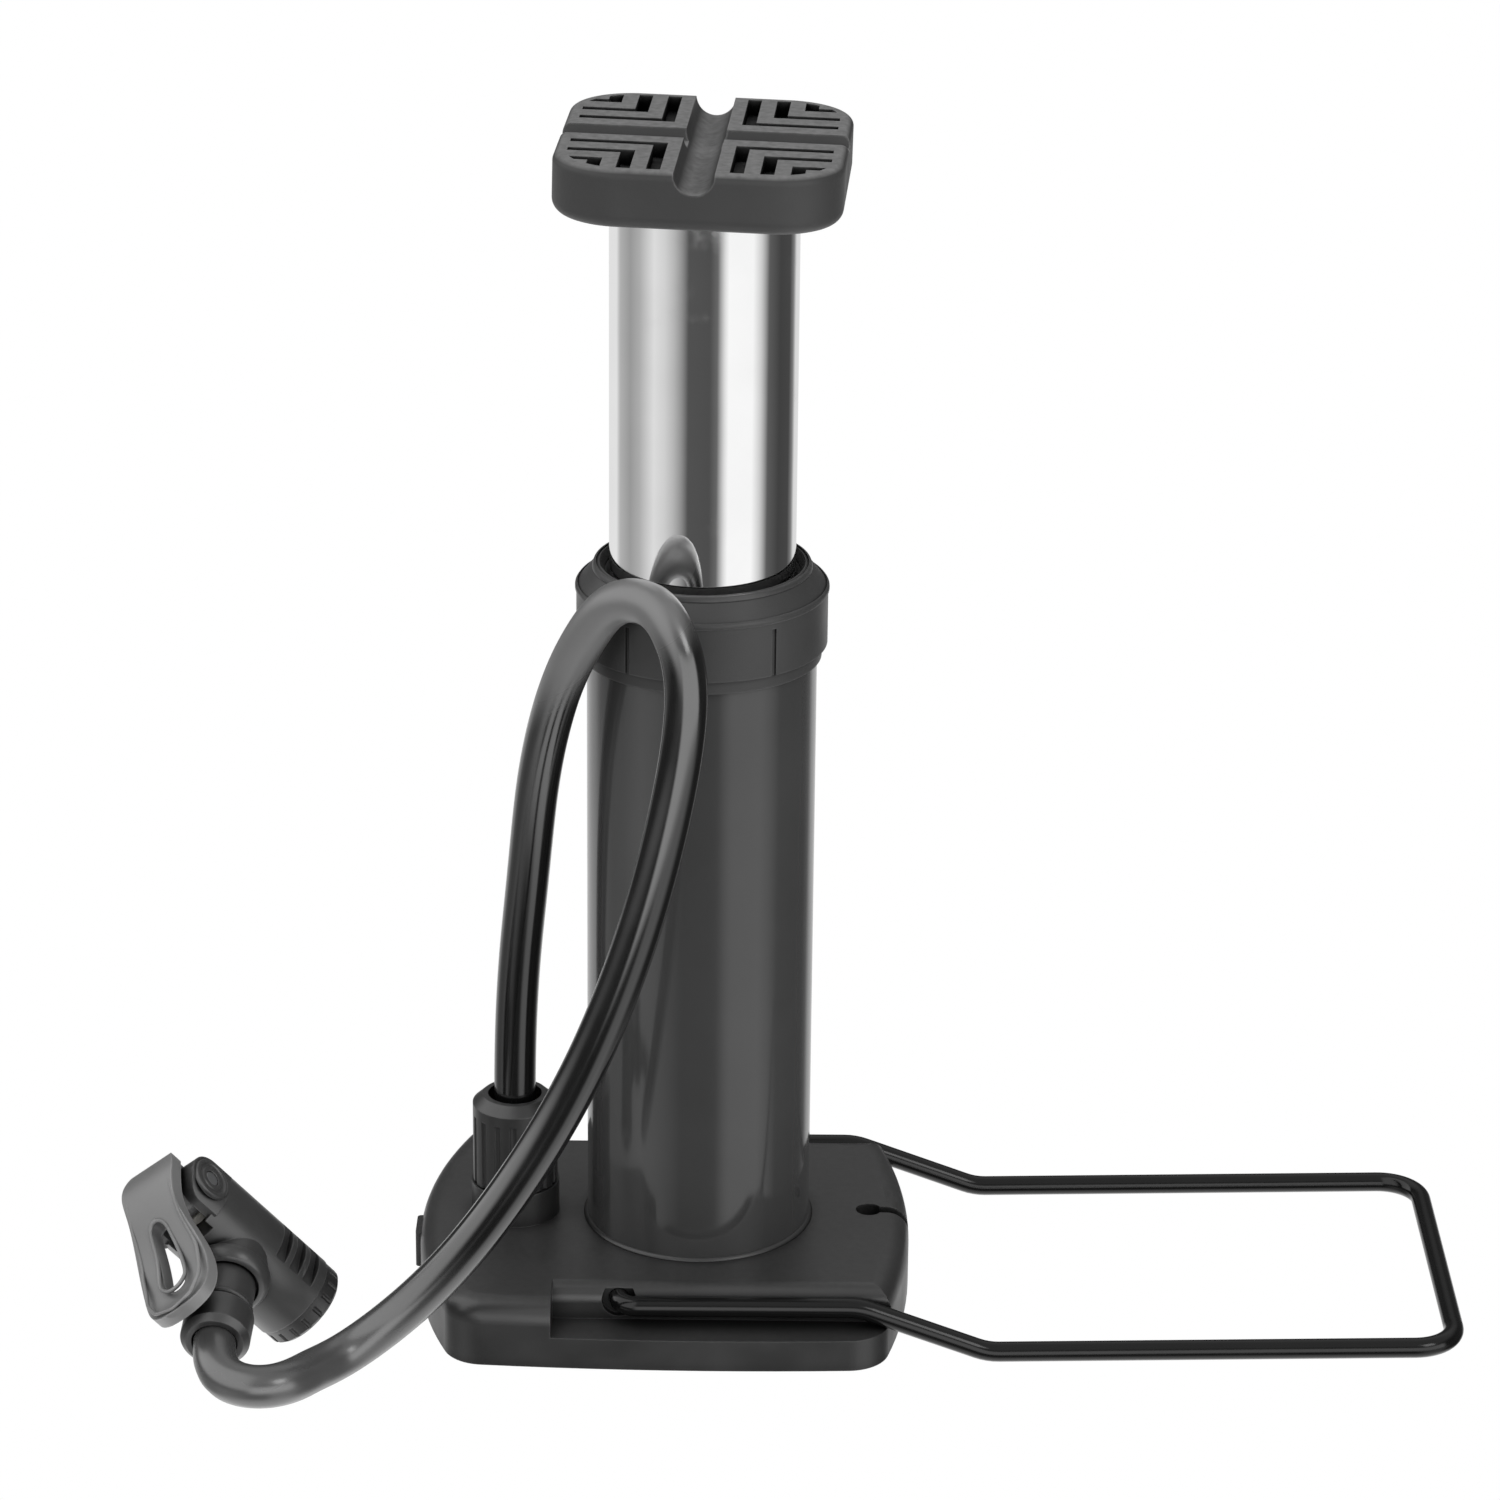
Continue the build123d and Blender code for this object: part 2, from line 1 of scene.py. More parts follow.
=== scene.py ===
"""Looks, light and camera for the foot air pump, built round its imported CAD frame."""
import math

import bpy
from mathutils import Matrix, Vector


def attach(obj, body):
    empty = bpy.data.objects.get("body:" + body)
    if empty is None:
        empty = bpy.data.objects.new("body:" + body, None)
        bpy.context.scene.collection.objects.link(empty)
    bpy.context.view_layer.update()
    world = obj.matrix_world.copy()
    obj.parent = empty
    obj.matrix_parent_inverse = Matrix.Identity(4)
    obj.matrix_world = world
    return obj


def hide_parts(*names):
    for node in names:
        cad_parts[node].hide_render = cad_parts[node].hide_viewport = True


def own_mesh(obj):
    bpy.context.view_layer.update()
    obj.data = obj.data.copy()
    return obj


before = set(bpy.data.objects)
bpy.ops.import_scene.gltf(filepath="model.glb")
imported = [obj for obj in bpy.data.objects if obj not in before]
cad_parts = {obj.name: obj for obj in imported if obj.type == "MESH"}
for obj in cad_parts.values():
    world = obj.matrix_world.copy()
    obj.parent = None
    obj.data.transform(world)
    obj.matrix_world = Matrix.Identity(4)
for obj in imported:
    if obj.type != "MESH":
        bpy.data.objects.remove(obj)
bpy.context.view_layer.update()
scene = bpy.context.scene

MM = 0.001


# ---------------------------------------------------------------- camera
# The camera looks at the pump from the front, a little above it, with a long lens.
CAMERA_ELEVATION = math.radians(21.816)
CAMERA_AZIMUTH = math.radians(0.055)
CAMERA_ROLL = math.radians(0.603)
CAMERA_DISTANCE = 1.064414
CAMERA_OFFSET = (0.009594, 0.107126)      # along its right and up, from the frame's origin
CAMERA_LENS = 124.572
CAMERA_SENSOR = 36.0


def add_camera():
    """A camera turned by azimuth and elevation round the origin, then rolled and moved aside."""
    flat = math.cos(CAMERA_ELEVATION)
    back = Vector((math.sin(CAMERA_AZIMUTH) * flat, -math.cos(CAMERA_AZIMUTH) * flat,
                   math.sin(CAMERA_ELEVATION)))
    right = Vector((math.cos(CAMERA_AZIMUTH), math.sin(CAMERA_AZIMUTH), 0))
    up = back.cross(right)
    place = back * CAMERA_DISTANCE + right * CAMERA_OFFSET[0] + up * CAMERA_OFFSET[1]
    rolled_right = right * math.cos(CAMERA_ROLL) + up * math.sin(CAMERA_ROLL)
    rolled_up = up * math.cos(CAMERA_ROLL) - right * math.sin(CAMERA_ROLL)
    data = bpy.data.cameras.new("camera")
    data.lens = CAMERA_LENS
    data.sensor_width = CAMERA_SENSOR
    data.sensor_fit = "HORIZONTAL"
    data.dof.use_dof = False
    data.clip_start = 0.05
    camera = bpy.data.objects.new("camera", data)
    camera.matrix_world = Matrix((
        (rolled_right.x, rolled_up.x, back.x, place.x),
        (rolled_right.y, rolled_up.y, back.y, place.y),
        (rolled_right.z, rolled_up.z, back.z, place.z),
        (0, 0, 0, 1),
    ))
    scene.collection.objects.link(camera)
    scene.camera = camera


# ---------------------------------------------------------------- light
# Brightness of the studio's walls round the object: degrees from the front, positive to
# the right, and radiance. The dark part in front is the camera's side of the room.
WALLS = [
    (-180, 0.95), (-132, 1.0), (-122, 0.58), (-100, 0.42), (-84, 0.55), (-62, 0.96),
    (-48, 0.84), (-36, 0.62), (-26, 0.36), (-18, 0.11), (8, 0.10), (17, 0.18), (26, 0.95),
    (31, 1.25), (62, 1.25), (74, 0.80), (86, 0.14), (106, 0.07), (128, 0.08), (139, 0.28),
    (148, 0.90), (180, 0.95),
]
WALLS_FADE_UP = (0.25, 0.75)         # the walls turn into the ceiling: sines of the height
WALLS_FADE_DOWN = (-0.60, -0.88)     # and into the ground
CEILING = 1.0
GROUND = 0.92
GROUND_MIRRORED = 2.2       # the lit table as glossy surfaces see it, close under the pump
# Soft boxes over the camera: edges in degrees of azimuth and of height, and radiance. Only
# glossy surfaces see them, because the studio's walls already stand for their fill light.
SOFT_BOXES = [
    ((-14, 70), (-11, 24), 3.6),
    ((-125, -14), (4, 80), 2.8),
]
BOX_SOFTNESS = 4            # half the width of a box's faded edge, in degrees
ROOM = 0.13                 # what glossy surfaces see between the boxes
ROOM_STARTS = (-15, -9)     # heights in degrees
ROOM_ENDS = (22, 42)
# Square panels: name, place, size in metres, radiance, and whether glossy surfaces see it.
PANELS = [
    ("right_panel", (0.75, -0.75, 0.95), 0.5, 5.0, True),
    ("left_panel", (-0.95, -0.45, 0.85), 0.4, 4.0, False),
]
PANEL_AIM = (0, 0, 0.1)
TABLE_SIZE = 6
TABLE_DROP = 0.0005         # how far the table lies under the feet


def math_node(tree, operation, first, second=None):
    """A math node's output; the operands are outputs of other nodes or plain numbers."""
    node = tree.nodes.new("ShaderNodeMath")
    node.operation = operation
    for place, value in enumerate((first, second)):
        if value is None:
            continue
        if isinstance(value, bpy.types.NodeSocket):
            tree.links.new(value, node.inputs[place])
        else:
            node.inputs[place].default_value = value
    return node.outputs[0]


def map_range(tree, value, low, high, to_low=0.0, to_high=1.0, smooth=False):
    """The value's place between low and high, carried over to between to_low and to_high."""
    node = tree.nodes.new("ShaderNodeMapRange")
    node.interpolation_type = "SMOOTHSTEP" if smooth else "LINEAR"
    tree.links.new(value, node.inputs["Value"])
    node.inputs["From Min"].default_value = low
    node.inputs["From Max"].default_value = high
    node.inputs["To Min"].default_value = to_low
    node.inputs["To Max"].default_value = to_high
    return node.outputs["Result"]


def between_degrees(tree, angle, low, high):
    """0 where the angle is low and 1 where it is high; low may be the larger one."""
    return map_range(tree, angle, math.radians(low), math.radians(high))


def blend_values(tree, factor, first, second):
    """first where factor is 0, second where it is 1; each a number or an output."""
    node = tree.nodes.new("ShaderNodeMix")
    node.data_type = "FLOAT"
    for name, value in (("Factor", factor), ("A", first), ("B", second)):
        if isinstance(value, bpy.types.NodeSocket):
            tree.links.new(value, node.inputs[name])
        else:
            node.inputs[name].default_value = value
    return node.outputs["Result"]


def add_world():
    """White to the camera; to everything else a studio with bright and dark walls."""
    world = bpy.data.worlds.new("studio")
    scene.world = world
    world.use_nodes = True
    tree = world.node_tree
    tree.nodes.clear()
    coordinates = tree.nodes.new("ShaderNodeTexCoord")
    direction = tree.nodes.new("ShaderNodeSeparateXYZ")
    tree.links.new(coordinates.outputs["Generated"], direction.inputs[0])
    toward_camera = math_node(tree, "MULTIPLY", direction.outputs["Y"], -1.0)
    azimuth = math_node(tree, "ARCTAN2", direction.outputs["X"], toward_camera)
    turn = map_range(tree, azimuth, -math.pi, math.pi)
    ramp = tree.nodes.new("ShaderNodeValToRGB")
    tree.links.new(turn, ramp.inputs["Fac"])
    stops = ramp.color_ramp.elements
    stops.remove(stops[1])
    for place, (degrees, level) in enumerate(WALLS):
        position = (degrees + 180) / 360
        if place == 0:
            stop = stops[0]
            stop.position = position
        else:
            stop = stops.new(position)
        stop.color = (level, level, level, 1)
    # the ramp's colour as a plain number
    walls = math_node(tree, "MULTIPLY", ramp.outputs["Color"], 1.0)
    height = direction.outputs["Z"]
    upward = map_range(tree, height, *WALLS_FADE_UP, smooth=True)
    downward = map_range(tree, height, *WALLS_FADE_DOWN, smooth=True)
    rays = tree.nodes.new("ShaderNodeLightPath")
    glossy = rays.outputs["Is Glossy Ray"]
    ground = blend_values(tree, glossy, GROUND, GROUND_MIRRORED)
    level = blend_values(tree, upward, walls, CEILING)
    level = blend_values(tree, downward, level, ground)
    elevation = math_node(tree, "ARCSINE", height)
    above = between_degrees(tree, elevation, *ROOM_STARTS)
    below = between_degrees(tree, elevation, *reversed(ROOM_ENDS))
    upper = math_node(tree, "MULTIPLY", math_node(tree, "MULTIPLY", above, below), glossy)
    level = blend_values(tree, upper, level, ROOM)
    for sides, heights, radiance in SOFT_BOXES:
        inside = glossy
        for angle, (low, high) in ((azimuth, sides), (elevation, heights)):
            rising = between_degrees(tree, angle, low - BOX_SOFTNESS, low + BOX_SOFTNESS)
            falling = between_degrees(tree, angle, high + BOX_SOFTNESS, high - BOX_SOFTNESS)
            edges = math_node(tree, "MULTIPLY", rising, falling)
            inside = math_node(tree, "MULTIPLY", inside, edges)
        level = blend_values(tree, inside, level, radiance)
    level = blend_values(tree, rays.outputs["Is Camera Ray"], level, 1.0)
    background = tree.nodes.new("ShaderNodeBackground")
    output = tree.nodes.new("ShaderNodeOutputWorld")
    tree.links.new(level, background.inputs["Strength"])
    tree.links.new(background.outputs[0], output.inputs["Surface"])


def add_panel(name, place, size, radiance, mirrored):
    """A square soft light aimed at the middle of the pump."""
    data = bpy.data.lights.new(name, "AREA")
    data.shape = "SQUARE"
    data.size = size
    data.energy = math.pi * size * size * radiance
    panel = bpy.data.objects.new(name, data)
    aim = Vector(PANEL_AIM) - Vector(place)
    panel.location = place
    panel.rotation_euler = aim.to_track_quat("-Z", "Y").to_euler()
    panel.visible_camera = False
    panel.visible_glossy = mirrored
    scene.collection.objects.link(panel)


def add_floor():
    """A glowing white table. It lights the pump from below but isn't mirrored in it."""
    bpy.ops.mesh.primitive_plane_add(size=TABLE_SIZE, location=(0, 0, -TABLE_DROP))
    floor = bpy.context.object
    floor.name = "white_table"
    material = bpy.data.materials.new("white_table")
    material.use_nodes = True
    tree = material.node_tree
    tree.nodes.clear()
    glow = tree.nodes.new("ShaderNodeEmission")
    output = tree.nodes.new("ShaderNodeOutputMaterial")
    tree.links.new(glow.outputs[0], output.inputs["Surface"])
    floor.data.materials.append(material)
    floor.visible_glossy = False


add_camera()
add_world()
add_floor()
for panel_values in PANELS:
    add_panel(*panel_values)


# ---------------------------------------------------------------- materials
# Noise scales are in cycles per metre.
NOISE_MIDDLE = (0.3, 0.7)        # most of a noise's values lie between these
WORN_REACH = 0.0007              # metres from an edge that are worn
WORN_NOISE = 350.0
WORN_MIDDLE = (0.35, 0.65)
WORN_LEAST = 0.35                # share of the wear where an edge is worn least
EDGE_TURN = (0.985, 0.85)        # cosines between the flat and the rounded normal
DUST_SLOPE = (0.6, 0.95)         # height of the normal where dust starts to lie, and lies fully
DUST_NOISE = 700.0
DUST_LEAST = 0.55
SHADE_REACH = 0.005            # metres within which walls shelter a surface, for its painted shade
SHADE_OPENNESS = (0.25, 0.85)  # how open a fully shaded and an unshaded place are, for the painted shade
SMEAR_SIZE = 0.6                 # size of the changes of roughness, next to patch_size
LEAST_ROUGHNESS = 0.01
SMUDGE_NOISE = 85.0
SMUDGE_EDGE = (0.57, 0.68)
SCUFFED_COLOUR = (0.125, 0.125, 0.125)
SCUFFED_ROUGHNESS = 0.42
COAT_ROUGHNESS = 0.08


def noise(tree, coordinates, scale, detail):
    node = tree.nodes.new("ShaderNodeTexNoise")
    node.inputs["Scale"].default_value = scale
    node.inputs["Detail"].default_value = detail
    tree.links.new(coordinates, node.inputs["Vector"])
    return node.outputs["Fac"]


def mix_colours(tree, factor, first, second):
    """first where factor is 0, second where it is 1; each a colour or an output."""
    node = tree.nodes.new("ShaderNodeMix")
    node.data_type = "RGBA"
    colour_inputs = [socket for socket in node.inputs if socket.type == "RGBA"]
    tree.links.new(factor, node.inputs["Factor"])
    for socket, value in zip(colour_inputs, (first, second)):
        if isinstance(value, bpy.types.NodeSocket):
            tree.links.new(value, socket)
        else:
            socket.default_value = (*value, 1)
    return [socket for socket in node.outputs if socket.type == "RGBA"][0]


def rounded_normal(tree, radius):
    """The surface normal with every sharp edge shaded as if rounded to the radius."""
    bevel = tree.nodes.new("ShaderNodeBevel")
    bevel.samples = 4
    bevel.inputs["Radius"].default_value = radius
    return bevel.outputs["Normal"]


def edge_mask(tree, radius):
    """1 on sharp edges and 0 away from them."""
    rounded = rounded_normal(tree, radius)
    geometry = tree.nodes.new("ShaderNodeNewGeometry")
    product = tree.nodes.new("ShaderNodeVectorMath")
    product.operation = "DOT_PRODUCT"
    tree.links.new(rounded, product.inputs[0])
    tree.links.new(geometry.outputs["Normal"], product.inputs[1])
    return map_range(tree, product.outputs["Value"], *EDGE_TURN)


def surface(name, colour, roughness, metallic=0.0, patches=0.12, patch_size=0.02,
            rough_change=0.06, grain=0.0, grain_size=0.0004, dents=0.0, dent_size=0.03,
            edge_radius=0.0003, worn=0.0, coat=0.0, painted_crevice_shade=0.0, dust=0.0,
            specular=0.5, scuffs=(), smudges=0.0):
    """Fills in a material slot.

    patches is how much the colour varies over patch_size; grain and dents are the depths
    of the fine and the broad relief in metres; worn is how much lighter the edges are,
    the crevice amount is how much painted shade darkens the slots and corners, in base
    colour and specular level both, and dust is how much lighter the faces are that look
    up. scuffs lists where the surface goes from clean to rubbed dull and grey: a direction,
    the clean and the dull place along it, and the share.
    smudges is how much rougher the finger marks are.
    """
    material = bpy.data.materials.get(name) or bpy.data.materials.new(name)
    material.use_nodes = True
    tree = material.node_tree
    tree.nodes.clear()
    output = tree.nodes.new("ShaderNodeOutputMaterial")
    shader = tree.nodes.new("ShaderNodeBsdfPrincipled")
    tree.links.new(shader.outputs["BSDF"], output.inputs["Surface"])
    coordinates = tree.nodes.new("ShaderNodeTexCoord").outputs["Object"]

    broad = noise(tree, coordinates, 1 / patch_size, 5.0)
    darker = [channel * (1 - patches) for channel in colour]
    lighter = [min(channel * (1 + patches), 1.0) for channel in colour]
    base = mix_colours(tree, map_range(tree, broad, *NOISE_MIDDLE), darker, lighter)
    if worn:
        rubbed = noise(tree, coordinates, WORN_NOISE, 3.0)
        amount = math_node(tree, "MULTIPLY", edge_mask(tree, WORN_REACH),
                           map_range(tree, rubbed, *WORN_MIDDLE, WORN_LEAST, 1.0))
        worn_colour = [min(channel * (1 + worn), 1.0) for channel in colour]
        base = mix_colours(tree, amount, base, worn_colour)
    if dust:
        facing = tree.nodes.new("ShaderNodeSeparateXYZ")
        geometry = tree.nodes.new("ShaderNodeNewGeometry")
        tree.links.new(geometry.outputs["Normal"], facing.inputs[0])
        settled = noise(tree, coordinates, DUST_NOISE, 6.0)
        amount = math_node(tree, "MULTIPLY", map_range(tree, facing.outputs["Z"], *DUST_SLOPE),
                           map_range(tree, settled, *NOISE_MIDDLE, DUST_LEAST, 1.0))
        dusty = [min(channel * (1 + dust), 1.0) for channel in colour]
        base = mix_colours(tree, amount, base, dusty)
    # painted shade: slots and corners that ambient occlusion finds close by get a darker base
    # colour and a weaker specular level
    if painted_crevice_shade:
        shade_occlusion = tree.nodes.new("ShaderNodeAmbientOcclusion")
        shade_occlusion.inputs["Distance"].default_value = SHADE_REACH
        unshaded_share = map_range(tree, shade_occlusion.outputs["AO"], *SHADE_OPENNESS)
        painted_shade_colour = [channel * (1 - painted_crevice_shade) for channel in colour]
        base = mix_colours(tree, unshaded_share, painted_shade_colour, base)
        shaded_specular = map_range(tree, unshaded_share, 0, 1, specular * (1 - painted_crevice_shade), specular)
        tree.links.new(shaded_specular, shader.inputs["Specular IOR Level"])
    scuffed = 0.0
    for direction, clean, dull, share in scuffs:
        along = tree.nodes.new("ShaderNodeVectorMath")
        along.operation = "DOT_PRODUCT"
        along.inputs[1].default_value = direction
        tree.links.new(coordinates, along.inputs[0])
        rubbed = map_range(tree, along.outputs["Value"], clean, dull, 0.0, share, smooth=True)
        scuffed = math_node(tree, "ADD", rubbed, scuffed)
    if scuffs:
        base = mix_colours(tree, scuffed, base, SCUFFED_COLOUR)
    tree.links.new(base, shader.inputs["Base Color"])

    smears = noise(tree, coordinates, 1 / (patch_size * SMEAR_SIZE), 6.0)
    smoothest = max(roughness - rough_change, LEAST_ROUGHNESS)
    rough = map_range(tree, smears, *NOISE_MIDDLE, smoothest, roughness + rough_change)
    if smudges:
        fingers = noise(tree, coordinates, SMUDGE_NOISE, 8.0)
        marks = map_range(tree, fingers, *SMUDGE_EDGE, 0.0, smudges)
        rough = math_node(tree, "ADD", rough, marks)
    if scuffs:
        rough = blend_values(tree, scuffed, rough, SCUFFED_ROUGHNESS)
    tree.links.new(rough, shader.inputs["Roughness"])
    shader.inputs["Specular IOR Level"].default_value = specular
    shader.inputs["Metallic"].default_value = metallic
    shader.inputs["Coat Weight"].default_value = coat
    shader.inputs["Coat Roughness"].default_value = COAT_ROUGHNESS

    normal = rounded_normal(tree, edge_radius)
    for depth, size in ((dents, dent_size), (grain, grain_size)):
        if not depth:
            continue
        relief = tree.nodes.new("ShaderNodeBump")
        relief.inputs["Strength"].default_value = 1.0
        relief.inputs["Distance"].default_value = depth
        tree.links.new(noise(tree, coordinates, 1 / size, 3.0), relief.inputs["Height"])
        tree.links.new(normal, relief.inputs["Normal"])
        normal = relief.outputs["Normal"]
    tree.links.new(normal, shader.inputs["Normal"])


def grey(level):
    return (level, level, level)


# the crevice amounts below set how much painted shade darkens each finish's slots and corners
surface("moulded_black", grey(0.020), 0.36, grain=0.000010, worn=0.8, painted_crevice_shade=0.6, dust=0.9)
surface("tread_black", grey(0.038), 0.55, grain=0.000030, grain_size=0.0010, worn=4.0,
        painted_crevice_shade=0.96, dust=4.2, specular=0.3)
surface("barrel_black", grey(0.050), 0.12, patches=0.06, rough_change=0.03, dents=0.000006,
        coat=0.25)
surface("collar_black", grey(0.045), 0.42, grain=0.000016, worn=0.8, painted_crevice_shade=0.7,
        specular=0.3)
surface("bright_tube", grey(0.93), 0.02, metallic=1.0, patches=0.03, rough_change=0.012,
        dents=0.00012, dent_size=0.045, smudges=0.10)
surface("seal_rubber", grey(0.020), 0.65, grain=0.000015)
surface("zinc_steel", (0.62, 0.63, 0.64), 0.28, metallic=1.0, grain=0.000006)
surface("spring_steel", (0.50, 0.50, 0.51), 0.32, metallic=1.0, grain=0.000006)
surface("turned_brass", (0.72, 0.52, 0.26), 0.28, metallic=1.0, grain=0.000006)
surface("natural_plastic", (0.70, 0.68, 0.62), 0.42, grain=0.000008)
surface("wire_black", grey(0.006), 0.14, rough_change=0.04, dents=0.00001, dent_size=0.006,
        specular=0.25)
surface("hose_black", grey(0.005), 0.14, rough_change=0.03, dents=0.00001, dent_size=0.02,
        specular=0.85,
        scuffs=[((0, 0, 1), 0.036, 0.010, 0.55), ((-0.8, 0, 1), 0.150, 0.164, 1.0)])
surface("head_grey", grey(0.042), 0.34, grain=0.000012, worn=1.4, painted_crevice_shade=0.9)
surface("lever_grey", grey(0.18), 0.36, grain=0.000010, worn=0.8, painted_crevice_shade=0.5)


# ---------------------------------------------------------------- hose
HOSE_DIAMETER = 8.4 * MM
HOSE_EXIT = (-37.2, 0, 37)
HOSE_ROUTE = [
    HOSE_EXIT,
    (-37.2, 0, 60.7),
    (-34.2, -2.6, 87),
    (-32.2, -7.9, 110.9),
    (-28.9, -14.1, 128),
    (-25.7, -19.4, 139.2),
    (-21.4, -23.1, 148.8),
    (-16.3, -26.3, 156.7),
    (-8.6, -30.8, 157.8),
    (-4.4, -35.8, 152.7),
    (-1.9, -38.7, 144.2),
    (-3.2, -41.5, 128.2),
    (-9.3, -46.2, 101.1),
    (-18.2, -48.4, 75.4),
    (-28.4, -49, 54),
    (-42.5, -50.1, 32.2),
    (-55.6, -50.3, 17.5),
    (-68.4, -54.5, 8.9),
    (-74, -62.9, 10.5),
    (-76.9, -71.9, 12.7),
    (-85.7, -74.7, 12.3),
    (-92.94, -68.69, 13.41),
    (-92.46, -58.04, 15.89),
]


def smooth_curve(name, points, radius, slot):
    """A round tube along a smooth curve that the points steer; points are in metres."""
    data = bpy.data.curves.new(name, "CURVE")
    data.dimensions = "3D"
    data.resolution_u = 16
    data.bevel_depth = radius
    data.bevel_resolution = 8
    data.use_fill_caps = True
    line = data.splines.new("NURBS")
    line.points.add(len(points) - 1)
    for point, place in zip(line.points, points):
        point.co = (*place, 1)
    line.order_u = 4
    line.use_endpoint_u = True
    tube = bpy.data.objects.new(name, data)
    scene.collection.objects.link(tube)
    data.materials.append(bpy.data.materials[slot])
    return tube


hose = smooth_curve("air_hose", [[value * MM for value in point] for point in HOSE_ROUTE],
                    HOSE_DIAMETER / 2, "hose_black")
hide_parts("hose")
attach(hose, "root")


# ---------------------------------------------------------------- springs
STEPS_PER_TURN = 28
END_TURNS_FLATTER = 0.09


def coil_spring(name, centre, radius, wire_radius, bottom, top, turns, slot):
    """A compression spring as a mesh, its end turns lying close together."""
    count = int(turns * STEPS_PER_TURN)
    points = []
    for i in range(count + 1):
        share = i / count
        angle = 2 * math.pi * turns * share
        # the end turns rise slower than the middle ones
        rise = share - END_TURNS_FLATTER * math.sin(2 * math.pi * share)
        z = bottom + wire_radius + (top - bottom - 2 * wire_radius) * rise
        points.append((centre[0] + radius * math.cos(angle),
                       centre[1] + radius * math.sin(angle), z))
    curve = smooth_curve(name + "_line", points, wire_radius, slot)
    curve.data.resolution_u = 1
    curve.data.bevel_resolution = 4
    bpy.context.view_layer.update()
    evaluated = curve.evaluated_get(bpy.context.evaluated_depsgraph_get())
    mesh = bpy.data.meshes.new_from_object(evaluated)
    bpy.data.objects.remove(curve)
    spring = bpy.data.objects.new(name, mesh)
    for face in mesh.polygons:
        face.use_smooth = True
    scene.collection.objects.link(spring)
    return spring


return_coil = coil_spring("return_coil", centre=(0, 0), radius=12.7 * MM,
                          wire_radius=1.25 * MM, bottom=130 * MM, top=221.9 * MM, turns=11,
                          slot="spring_steel")
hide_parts("return_spring")
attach(return_coil, "root")
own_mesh(return_coil)

valve_coil = coil_spring("valve_coil", centre=(-37.2 * MM, 0), radius=1.95 * MM,
                         wire_radius=0.3 * MM, bottom=12.3 * MM, top=17.4 * MM, turns=6,
                         slot="spring_steel")
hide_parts("valve_spring")
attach(valve_coil, "root")
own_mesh(valve_coil)


# ---------------------------------------------------------------- turned details
LATHE_STEPS = 96
CORNER_ROUND = 0.12 * MM
CORNER_ANGLE = math.radians(30)      # sharper corners than this are rounded


def lathe(name, profile, origin, axis, body, slot):
    """A turned ring: the profile's (radius, height) points in mm go round the axis."""
    towards = Vector(axis).normalized()
    side = towards.orthogonal().normalized()
    other = towards.cross(side)
    corners = []
    for i in range(LATHE_STEPS):
        angle = 2 * math.pi * i / LATHE_STEPS
        outward = side * math.cos(angle) + other * math.sin(angle)
        for radius, height in profile:
            corners.append((Vector(origin) + outward * radius + towards * height) * MM)
    count = len(profile)
    faces = []
    for i in range(LATHE_STEPS):
        after = (i + 1) % LATHE_STEPS
        for j in range(count):
            k = (j + 1) % count
            faces.append((i * count + j, after * count + j, after * count + k, i * count + k))
    mesh = bpy.data.meshes.new(name)
    mesh.from_pydata(corners, [], faces)
    mesh.validate()
    for face in mesh.polygons:
        face.use_smooth = True
    piece = bpy.data.objects.new(name, mesh)
    scene.collection.objects.link(piece)
    corner_round = piece.modifiers.new("rounded", "BEVEL")
    corner_round.width = CORNER_ROUND
    corner_round.segments = 2
    corner_round.limit_method = "ANGLE"
    corner_round.angle_limit = CORNER_ANGLE
    mesh.materials.append(bpy.data.materials[slot])
    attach(piece, body)


ORIGIN = (0, 0, 0)
UP = (0, 0, 1)
# bead of paint and sealant where the barrel meets the base
FOOT_BEAD = [(22.4, 14.0), (23.15, 14.05), (23.1, 14.45), (22.75, 14.8), (22.4, 15.0)]
# a stepped ring under the collar's chamfer, and one inside its crest
STEP_RING = [(24.2, 149.2), (24.75, 149.6), (24.75, 150.3), (24.3, 150.9), (23.9, 150.2)]
CREST_RING = [(20.9, 154.2), (21.5, 153.9), (21.1, 154.9), (20.6, 155.05)]
lathe("barrel_foot_bead", FOOT_BEAD, ORIGIN, UP, "root", "moulded_black")
lathe("collar_step_ring", STEP_RING, ORIGIN, UP, "root", "collar_black")
lathe("collar_crest_ring", CREST_RING, ORIGIN, UP, "root", "collar_black")


# ---------------------------------------------------------------- valve head details
# The head's own axes: along to the mouth, down the stem, and across along the lever's pin.
HEAD_CENTRE = Vector((-91.3, -32.2, 21.9))
HEAD_ALONG = Vector((0.65114, 0.14403, -0.74516))
HEAD_DOWN = Vector((-0.04375, -0.97307, -0.22632))
HEAD_ACROSS = HEAD_ALONG.cross(HEAD_DOWN)


def head_point(along, down, across):
    """The point, in mm, at this place in the head's own axes."""
    return HEAD_CENTRE + HEAD_ALONG * along + HEAD_DOWN * down + HEAD_ACROSS * across


LEVER_PIN = head_point(-15.8, 1.8, 0)
HINGE_BOSS = [
    (1.6, 8.6), (1.6, 9.5), (2.5, 9.5), (2.7, 9.25), (3.3, 9.25), (3.5, 9.6), (4.3, 9.5),
    (4.5, 8.6),
]
SHOULDER_RING = [(6.6, 11.6), (8.1, 9.4), (8.5, 9.8), (8.3, 11.2), (7.4, 12.4), (6.4, 12.8)]
STEM_RING = [(5.6, 19.6), (6.3, 19.8), (6.4, 20.6), (5.6, 21.2)]
lathe("hinge_boss_near", HINGE_BOSS, LEVER_PIN, -HEAD_ACROSS, "root", "head_grey")
lathe("hinge_boss_far", HINGE_BOSS, LEVER_PIN, HEAD_ACROSS, "root", "head_grey")
lathe("shoulder_ring", SHOULDER_RING, HEAD_CENTRE, HEAD_DOWN, "root", "head_grey")
lathe("stem_ring", STEM_RING, HEAD_CENTRE, HEAD_DOWN, "root", "head_grey")


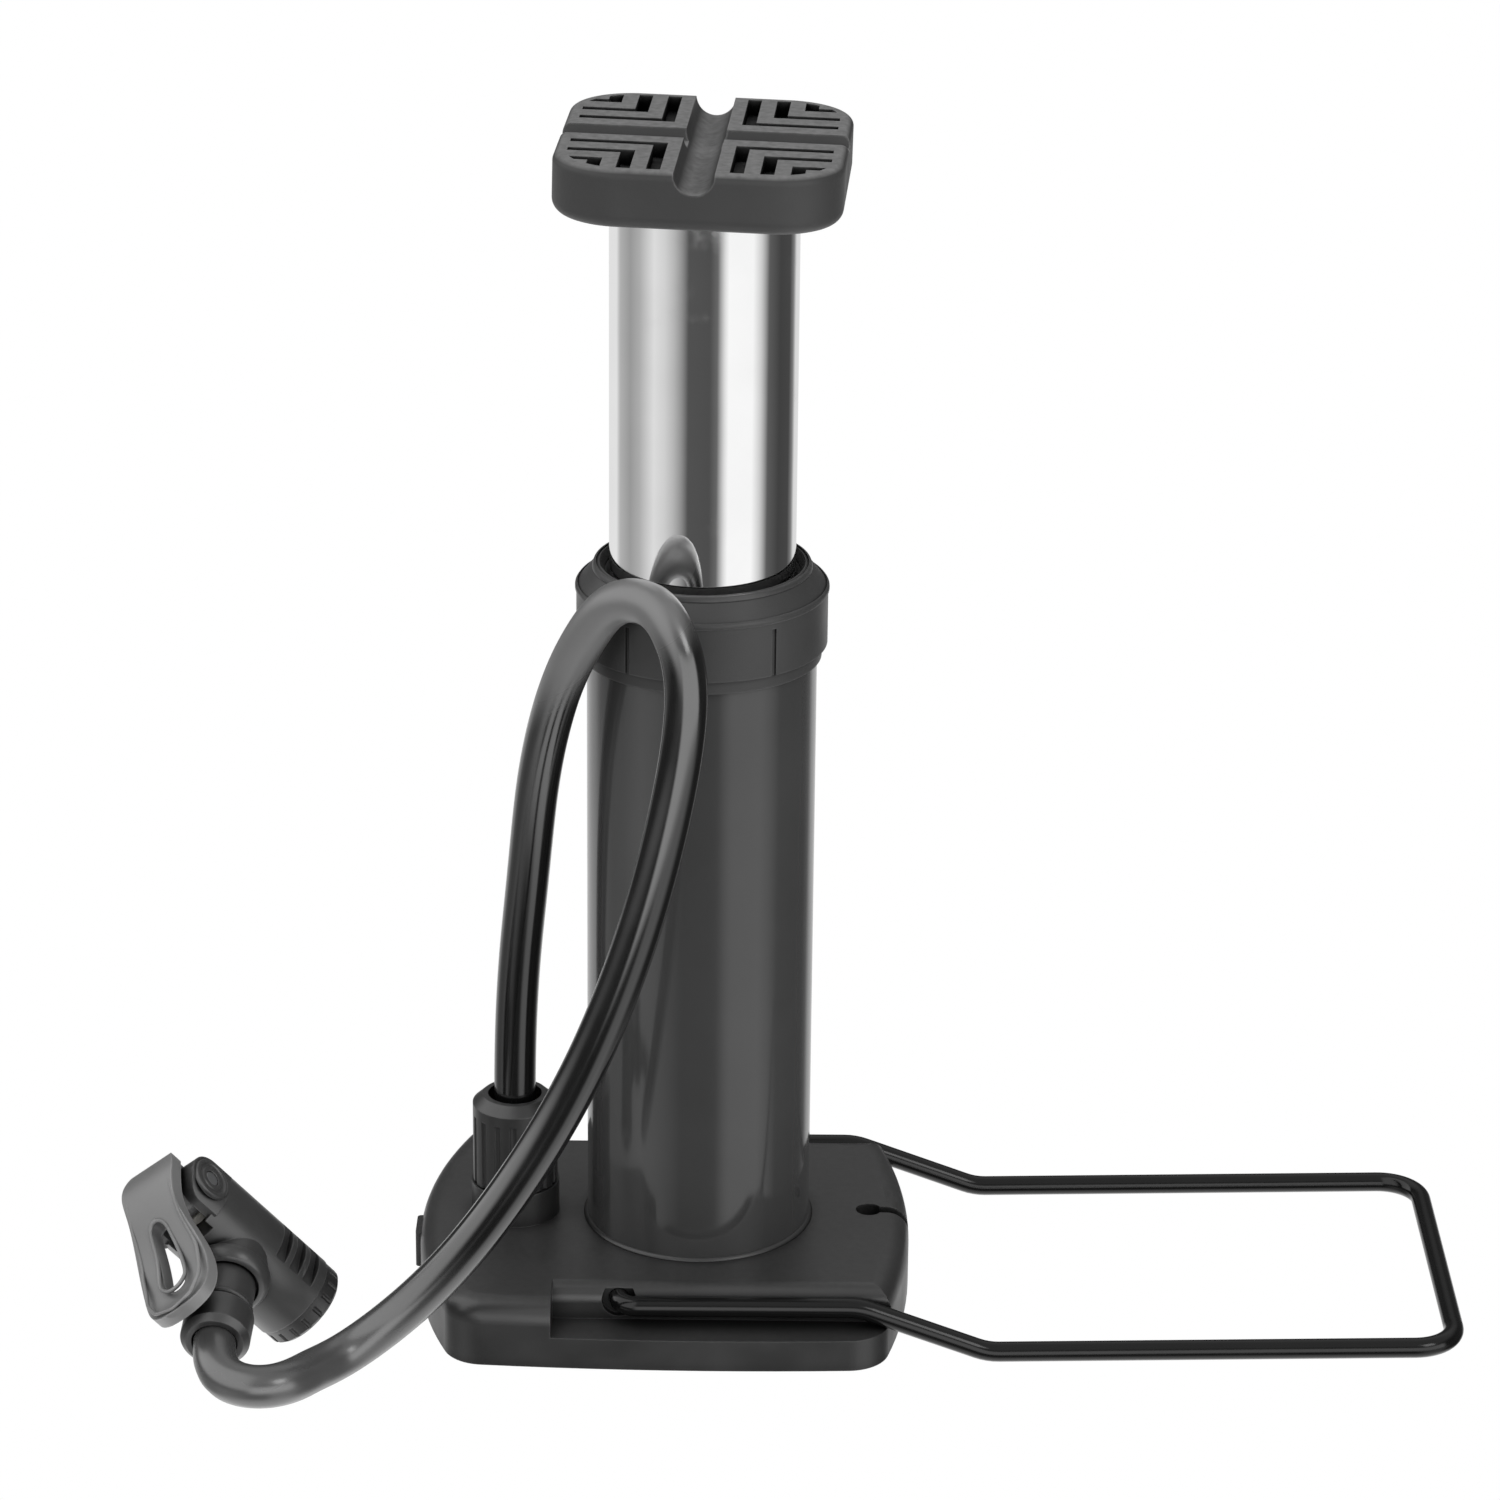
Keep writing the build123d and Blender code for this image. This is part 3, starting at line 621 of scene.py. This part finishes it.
# The lever's blade seen from its side, as (along, down) in the head's axes, then what its rims
# follow, as (down, across).
BLADE_LINE = [
    (-22.6, -1.4), (-22.3, 6.2), (-19.3, 11.3), (-14.2, 17.0), (-11.6, 23.0), (-10.2, 31.0),
]
BLADE_HALF_THICKNESS = 1.3
RIM_SUNK = 0.12                               # how deep the rims' centre lines lie in the blade
WINDOW_ENDS = ((13.6, 1.8), (21.6, 2.9))      # the hole's two round ends: place, radius
BLADE_RIM = [
    (3.0, 5.6), (8.0, 5.7), (13.0, 6.0), (18.5, 7.2), (25.0, 6.9), (28.6, 4.6), (29.9, 0.0),
]
ARC_STEPS = 6
RIM_STEPS = 3


def blade_place(down, across):
    """The point, in mm, just under the blade's outer face at this place of the blade."""
    for (x0, y0), (x1, y1) in zip(BLADE_LINE, BLADE_LINE[1:]):
        if down <= y1:
            break
    share = (down - y0) / (y1 - y0)
    run = Vector((x1 - x0, y1 - y0)).normalized()
    out = BLADE_HALF_THICKNESS - RIM_SUNK
    return head_point(x0 + (x1 - x0) * share - run.y * out, down + run.x * out, across)


def window_outline(margin):
    """Half of the hole's outline: two arcs joined by a straight tangent, a margin outside it."""
    (top, small), (bottom, large) = WINDOW_ENDS
    tangent = math.pi / 2 - math.asin((large - small) / (bottom - top))
    arcs = [(top, small, 0, tangent), (bottom, large, tangent, math.pi)]
    points = []
    for centre, radius, first, last in arcs:
        for i in range(ARC_STEPS + 1):
            angle = first + (last - first) * i / ARC_STEPS
            points.append((centre - (radius + margin) * math.cos(angle),
                           (radius + margin) * math.sin(angle)))
    return points


def blade_rim(name, half, radius, closed):
    """A moulded bead along the half outline and its mirror image, on the lever's blade."""
    mirrored = [(down, -across) for down, across in half]
    if closed:
        outline = half + mirrored[-2:0:-1] + half[:1]
    else:
        outline = half + mirrored[-2::-1]
    finer = []
    for (down0, across0), (down1, across1) in zip(outline, outline[1:]):
        for step in range(RIM_STEPS):
            share = step / RIM_STEPS
            finer.append(blade_place(down0 + (down1 - down0) * share,
                                     across0 + (across1 - across0) * share) * MM)
    finer.append(blade_place(*outline[-1]) * MM)
    rim = smooth_curve(name, finer, radius * MM, "lever_grey")
    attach(rim, "lever")


blade_rim("lever_window_rim", window_outline(margin=0.5), radius=0.42, closed=True)
blade_rim("lever_edge_rim", BLADE_RIM, radius=0.38, closed=False)


# ---------------------------------------------------------------- picture
scene.view_settings.view_transform = "Standard"
scene.view_settings.look = "None"
scene.cycles.use_denoising = True
